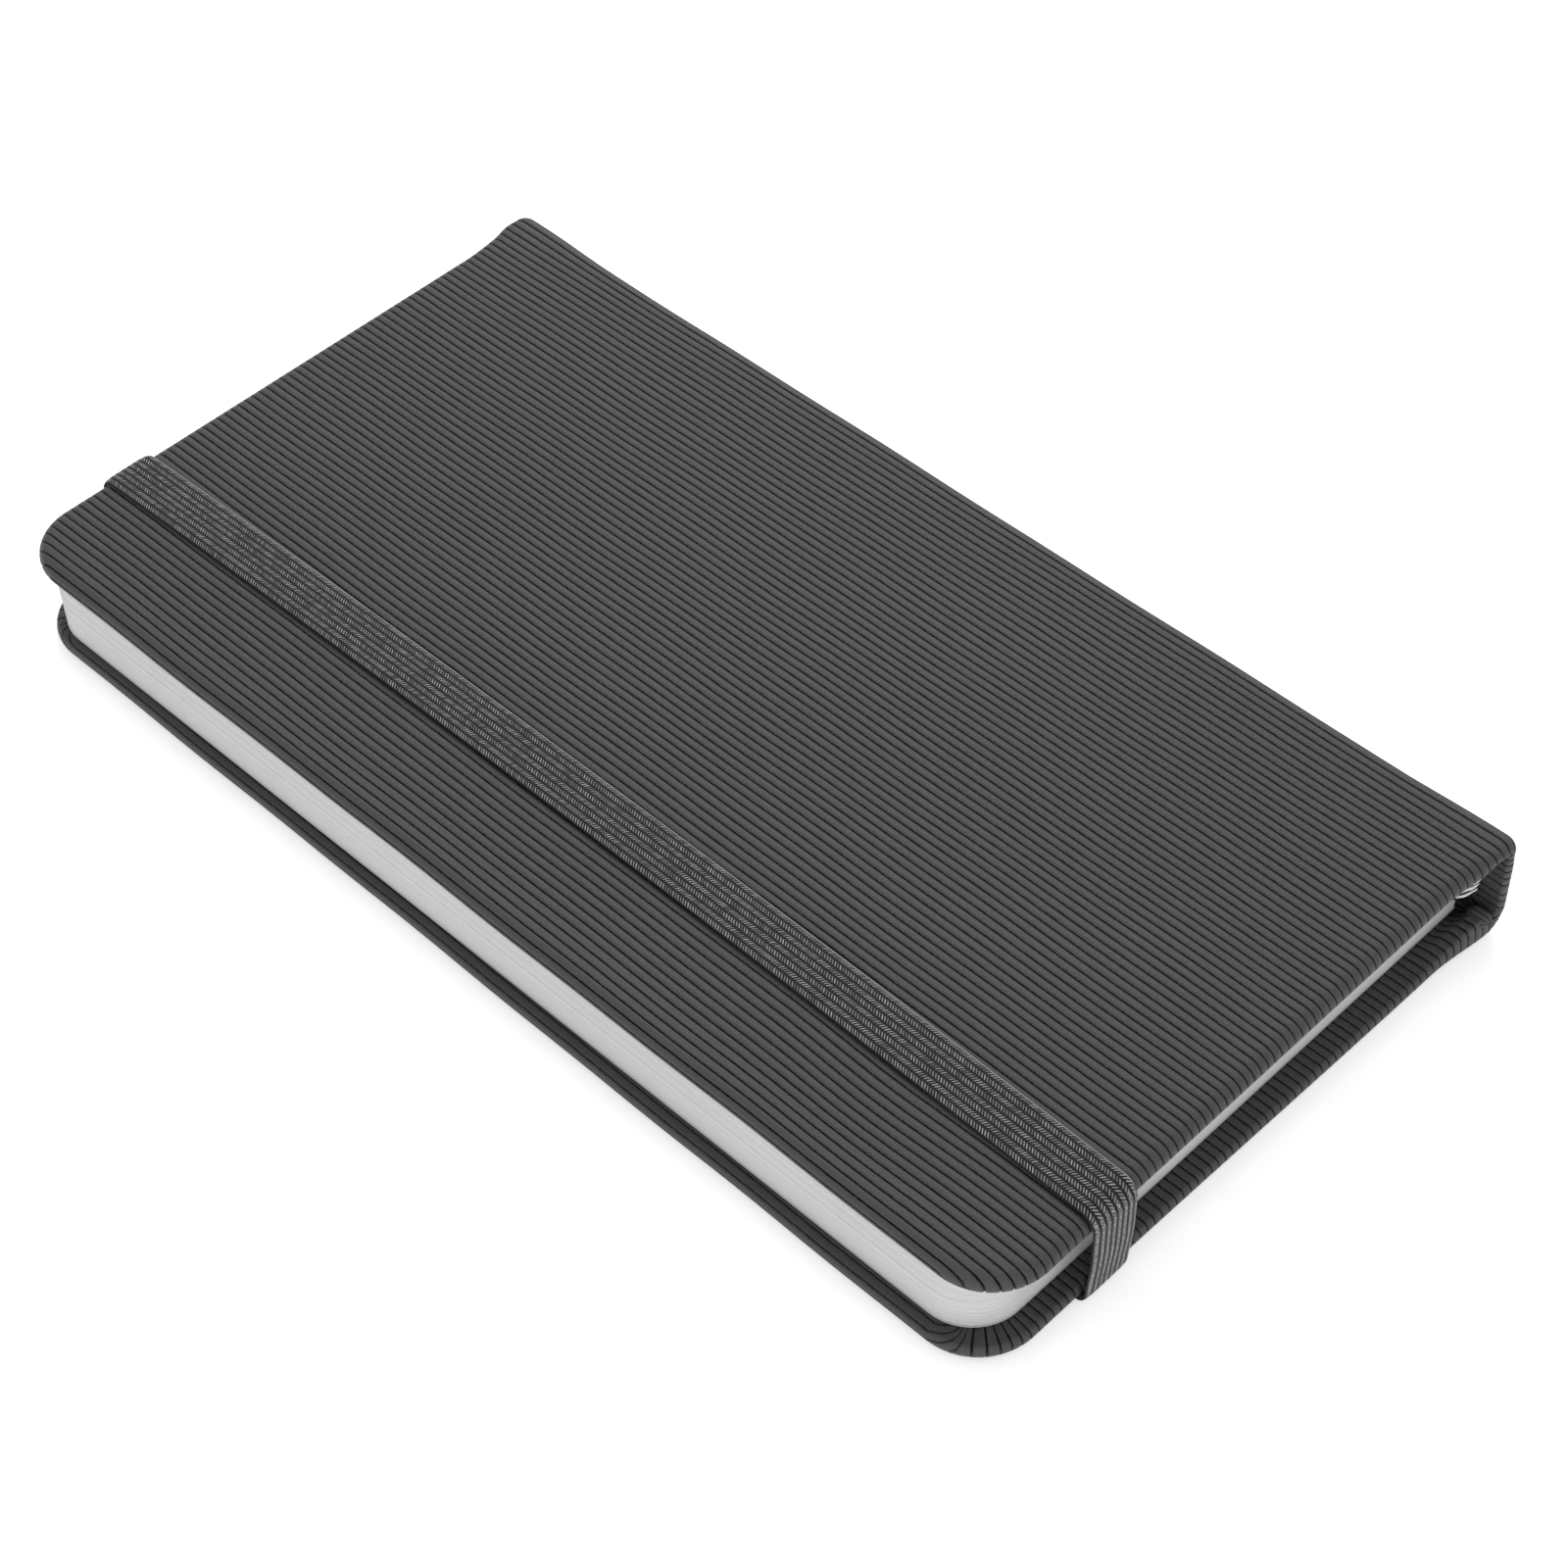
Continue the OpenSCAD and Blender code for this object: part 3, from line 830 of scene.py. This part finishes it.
def end_band(name, node, material, rng):
    """Black and white silk wound over a core that bows with the back of the leaves.
    Every turn of thread is modelled."""
    low, high = box_mm(node)
    low[2] += SILK_START
    side = 1 if high[1] > 0 else -1
    middle_z, half_z = 0.5 * (low[2] + high[2]), 0.5 * (high[2] - low[2])
    half_x, half_y = SILK_HALF
    centre_y = side * (max(abs(low[1]), abs(high[1])) - 0.30)
    bow_depth = 0.60

    def centre_x(z):
        bow = 1 - ((z - middle_z) / half_z) ** 2
        return low[0] + half_x + 0.20 - bow_depth * bow

    points, faces, marks, count = [], [], [], 0
    for number, z in enumerate(np.arange(low[2] + 0.5, high[2] - 0.5, SILK_PITCH)):
        tube = thread_loop((centre_x(z), centre_y, z), side, rng)
        size = tube.shape[0] * tube.shape[1]
        index = count + np.arange(size).reshape(tube.shape[:2])
        index = np.concatenate([index, index[:1]], axis=0)
        faces += grid_faces(np.concatenate([index, index[:, :1]], axis=1))
        points.append(tube.reshape(-1, 3))
        white = 1 - number % 2
        marks += [(white, 0, 0)] * size
        count += size

    # The core inside the turns
    fullness = np.array((0.55, 0.8, 0.88, 0.9, 0.9, 0.9, 0.88, 0.8, 0.55))[:, None]
    levels = np.linspace(low[2] + 0.2, high[2] - 0.2, len(fullness))[:, None]
    turn = np.linspace(0, 2 * math.pi, 16, endpoint=False)
    core = np.zeros((len(fullness), len(turn), 3))
    core[..., 0] = centre_x(levels) + half_x * fullness * np.cos(turn)
    leaning = half_y * np.sin(turn) - side * SILK_LEAN * 0.5 * np.cos(turn)
    core[..., 1] = centre_y + fullness * leaning
    core[..., 2] = levels
    size = core.shape[0] * core.shape[1]
    index = count + np.arange(size).reshape(core.shape[:2])
    faces += grid_faces(np.concatenate([index, index[:, :1]], axis=1)[::-1])
    faces += [index[0, ::-1].tolist(), index[-1].tolist()]
    points.append(core.reshape(-1, 3))
    marks += [(0, 0, 0)] * size
    piece = new_piece(name, np.concatenate(points), faces, material)
    add_attribute(piece, "stripe", marks)
    return piece


# ---------------------------------------------------------------- closure band

def straight(start, end, spacing):
    """Points from start to end, without start itself."""
    steps = max(1, int(np.linalg.norm(end - start) / spacing))
    return [start + (end - start) * k / steps for k in range(1, steps + 1)]


def rounded_path(corners, radii, spacing):
    """Points along a polyline with rounded right-angled corners, close together on the bends."""
    corners = [np.array(corner, float) for corner in corners]
    points = [corners[0]]
    for before, corner, after, radius in zip(corners, corners[1:], corners[2:], radii):
        into = (corner - before) / np.linalg.norm(corner - before)
        away = (after - corner) / np.linalg.norm(after - corner)
        start = corner - into * radius
        centre = start + away * radius
        points += straight(points[-1], start, spacing)
        for angle in np.linspace(0, math.pi / 2, 9)[1:]:
            point = centre - away * radius * math.cos(angle) + into * radius * math.sin(angle)
            points.append(point)
    points += straight(points[-1], corners[-1], spacing)
    return np.array(points)


def strap_path(top, strap_t):
    """The middle line of the elastic as (y, z): from the head tab inside the lower cover,
    round the head edge, over the front cover and back to the tail tab."""
    leg_y = box_mm("back_cover_cloth")[1][1] + 0.05 + 0.5 * strap_t
    bar_z = top + 0.5 * strap_t
    tab_y, slot_y = 56.8, 62.75
    channel_z, tab_z = 0.15, 1.95
    head_half = [(tab_y, tab_z), (slot_y, tab_z), (slot_y, channel_z),
                 (leg_y, channel_z), (leg_y, bar_z)]
    tail_half = [(-y, z) for y, z in reversed(head_half)]
    slot_r, lower_r, upper_r = 0.16, 1.15, 1.8
    head_radii = (slot_r, slot_r, lower_r, upper_r)
    path = rounded_path(head_half + tail_half, head_radii + head_radii[::-1], 0.45)

    # The head leg leans in with the lower cover's edge.
    lean = smoothstep(path[:, 0], 64, 69) * smoothstep(-path[:, 1], -8, -0.5)
    path[:, 0] -= 0.75 * LOWER_SKEW * lean
    return path, leg_y


def strap_section(width):
    """The cross-section, as a closed ring: lengthwise cords on both sides, thin at the edges."""
    across = np.sin(np.linspace(-math.pi / 2, math.pi / 2, 65)) * 0.5 * width
    swell = (1 - np.abs(2 * across / width) ** 5) ** 0.5
    cords = 0.80 + 0.20 * np.abs(np.sin(math.pi * (across / width + 0.5) * BAND_LANES)) ** 0.6
    profile = np.clip(swell * cords, 0.05, 1)
    return np.concatenate([across, across[::-1]]), np.concatenate([profile, -profile[::-1]])


def elastic_loop(name, material):
    """The flat elastic: over the front cover, down both edges and tucked under the back."""
    low, high = box_mm("elastic_band")
    centre_x, width = 0.5 * (low[0] + high[0]), high[0] - low[0]
    top = box_mm("front_cover_cloth")[1][2]
    strap_t = BAND_PULLED * (high[2] - top)
    path, leg_y = strap_path(top, strap_t)
    tangent = np.gradient(path, axis=0)
    tangent /= np.linalg.norm(tangent, axis=1)[:, None]
    normal = np.stack([tangent[:, 1], -tangent[:, 0]], axis=1)
    along = np.concatenate([[0], np.cumsum(np.linalg.norm(np.diff(path, axis=0), axis=1))])

    # Thin where it is tucked in, full on the legs and the front cover, bowed to the spine there
    outside = np.abs(path[:, 0]) > leg_y - 1.5
    full = np.where(outside | (path[:, 1] > 5), smoothstep(path[:, 1], 0.2, 2.2), 0)
    half_t = TUCKED_HALF_T + (0.5 * strap_t - TUCKED_HALF_T) * full
    leg = smoothstep(np.abs(path[:, 0]), leg_y - 0.9, leg_y - 0.2)
    bow = -0.8 * (1 - (path[:, 0] / leg_y) ** 2) * smoothstep(path[:, 1], 5, 12)

    ring_across, ring_height = strap_section(width)
    count = len(ring_across)
    points = np.zeros((len(path), count, 3))
    points[..., 0] = centre_x + bow[:, None] + ring_across[None, :]
    lift = half_t[:, None] * ring_height[None, :]
    points[..., 1] = path[:, 0][:, None] + normal[:, 0][:, None] * lift
    points[..., 2] = path[:, 1][:, None] + normal[:, 1][:, None] * lift
    index = np.arange(len(path) * count).reshape(len(path), count)
    faces = grid_faces(np.concatenate([index, index[:, :1]], axis=1))
    faces += [index[0, ::-1].tolist(), index[-1].tolist()]
    marks = np.zeros((len(path), count, 3))
    marks[..., 0] = ring_across
    marks[..., 1] = along[:, None]
    marks[..., 2] = leg[:, None]
    piece = new_piece(name, points.reshape(-1, 3), faces, material,
                      sharp=math.radians(80))
    add_attribute(piece, "braid", marks.reshape(-1, 3))
    return piece


# ---------------------------------------------------------------- studio

def place_camera():
    """Above the head fore-edge corner, looking down across the front cover."""
    azimuth, elevation, roll = (math.radians(a) for a in (135.45, 47.92, -1.62))
    distance, target = 348.8, Vector((-2.06, 5.62, 0.0))
    back = Vector((math.sin(azimuth) * math.cos(elevation),
                   -math.cos(azimuth) * math.cos(elevation),
                   math.sin(elevation)))
    right = Vector((0, 0, 1)).cross(back).normalized()
    up = back.cross(right)
    tilted_right = right * math.cos(roll) + up * math.sin(roll)
    tilted_up = up * math.cos(roll) - right * math.sin(roll)
    data = bpy.data.cameras.new("camera")
    data.sensor_width = 36
    data.lens = 77.24
    data.clip_start = 0.01      # metres
    camera = bpy.data.objects.new("camera", data)
    turn = Matrix((tilted_right, tilted_up, back)).transposed().to_4x4()
    camera.matrix_world = Matrix.Translation((target + back * distance) * MM) @ turn
    bpy.context.scene.collection.objects.link(camera)
    bpy.context.scene.camera = camera


def area_light(name, place, size, power):
    """A square soft box aimed at the book; place and size in metres, power in watts."""
    data = bpy.data.lights.new(name, "AREA")
    data.size = size
    data.energy = power
    light = bpy.data.objects.new(name, data)
    light.location = place
    aim = Vector((0, 0, 0.005)) - Vector(place)
    light.rotation_euler = aim.to_track_quat("-Z", "Y").to_euler()
    bpy.context.scene.collection.objects.link(light)


def build_studio():
    """White surroundings, a soft box beyond the spine, a weaker one on the near side
    and a pale floor."""
    world = bpy.data.worlds.new("studio")
    world.use_nodes = True
    background = world.node_tree.nodes["Background"]
    background.inputs["Color"].default_value = (1, 1, 1, 1)
    background.inputs["Strength"].default_value = 0.72
    bpy.context.scene.world = world
    area_light("key", (-0.55, -0.40, 0.62), size=0.45, power=4.0)
    area_light("fill", (0.70, 0.60, 0.40), size=0.60, power=2.8)

    # In metres; the floor lies a hair below the lower cover, so the two never coincide.
    mesh = bpy.data.meshes.new("floor")
    reach, level = 3.0, -0.0001
    corners = [(-reach, -reach, level), (reach, -reach, level),
               (reach, reach, level), (-reach, reach, level)]
    mesh.from_pydata(corners, [], [(0, 1, 2, 3)])
    mesh.materials.append(floor_material())
    floor = bpy.data.objects.new("floor", mesh)
    bpy.context.scene.collection.objects.link(floor)
    bpy.context.scene.view_settings.view_transform = "Standard"


# ---------------------------------------------------------------- assembly

def build_book():
    """Every piece of the notebook, all but the two cover cloths on their bodies, and a finish on
    each CAD node that shows.
    """
    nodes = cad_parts
    leather = cover_material()
    page = paper_material("page_paper", PAGE_TONE, edge_lines=0.08)
    endpaper = paper_material("endpaper", ENDPAPER_TONE)
    board = board_material()
    thread = twisted_material("sewing_thread", THREAD_TONE)
    gauze = gauze_material()
    silk = end_band_material()
    braid = elastic_material()

    front = cover_cloth("front_cloth", True, leather)
    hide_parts("front_cover_cloth", "spine_cloth")
    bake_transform(front)
    back = cover_cloth("back_cloth", False, leather)
    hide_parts("back_cover_cloth", "spine_cloth")
    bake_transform(back)

    for name, node, upper in (("front_stiffener", "front_board", True),
                              ("back_stiffener", "back_board", False)):
        stiffener = cover_board(name, node, upper, board)
        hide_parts(node)
        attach(stiffener, "front_cover" if upper else "back_cover")
    stiffener = spine_board("spine_stiffener", "spine_board", board)
    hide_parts("spine_board")
    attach(stiffener, "spine")

    rng = np.random.default_rng(5)
    numbers = range(1, SECTIONS + 1)
    for number in numbers:
        name = f"section_{number}"
        leaves = leaf_section(f"leaves_{number}", name, page, rng)
        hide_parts(name)
        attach(leaves, name)

    for name, node in (("head_silk", "headband"), ("tail_silk", "tailband")):
        band = end_band(name, node, silk, rng)
        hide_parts(node)
        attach(band, "spine")

    strap = elastic_loop("elastic_strap", braid)
    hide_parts("elastic_band")
    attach(strap, "elastic")
    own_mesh(strap)

    finishes = {"back_endpaper": endpaper, "front_endpaper": endpaper,
                "spine_lining": endpaper, "mull": gauze}
    finishes.update({f"thread_{number}": thread for number in numbers})
    for node, material in finishes.items():
        nodes[node].data.materials.clear()
        nodes[node].data.materials.append(material)


build_studio()
place_camera()
build_book()
